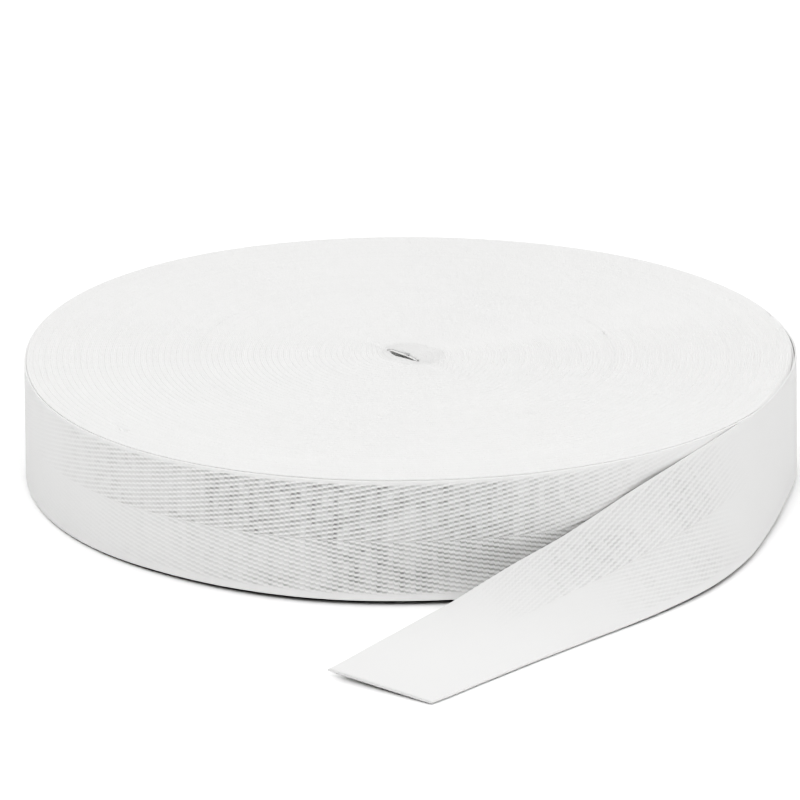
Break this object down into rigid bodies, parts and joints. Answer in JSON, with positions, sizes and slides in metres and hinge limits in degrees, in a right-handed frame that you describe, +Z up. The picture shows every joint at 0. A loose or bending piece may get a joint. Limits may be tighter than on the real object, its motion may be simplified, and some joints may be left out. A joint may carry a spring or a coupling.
{
  "type": "roll of twill tape",
  "caption": "White herringbone twill tape wound flat into a disc, its outer end peeling off the side and twisting down to lie flat.",
  "frame": {"origin": "middle of the part's footprint, on the surface that the roll lies on", "axes": "+Z up along the roll's axis, -Y towards the side where the loose end lies, +X to the right seen from there"},
  "size_m": [0.1622, 0.2194, 0.025],
  "materials": {
    "wound_tape": "matt white cotton twill tape, wound, turn edges showing on both faces",
    "loose_tape": "matt white cotton herringbone twill tape, a single layer",
    "inner_tape": "matt white cotton herringbone twill tape, a single layer"
  },
  "bodies": {
    "root": {"wound_roll": "wound_tape", "loose_end": "loose_tape", "inner_end": "inner_tape"}
  },
  "joints": []
}
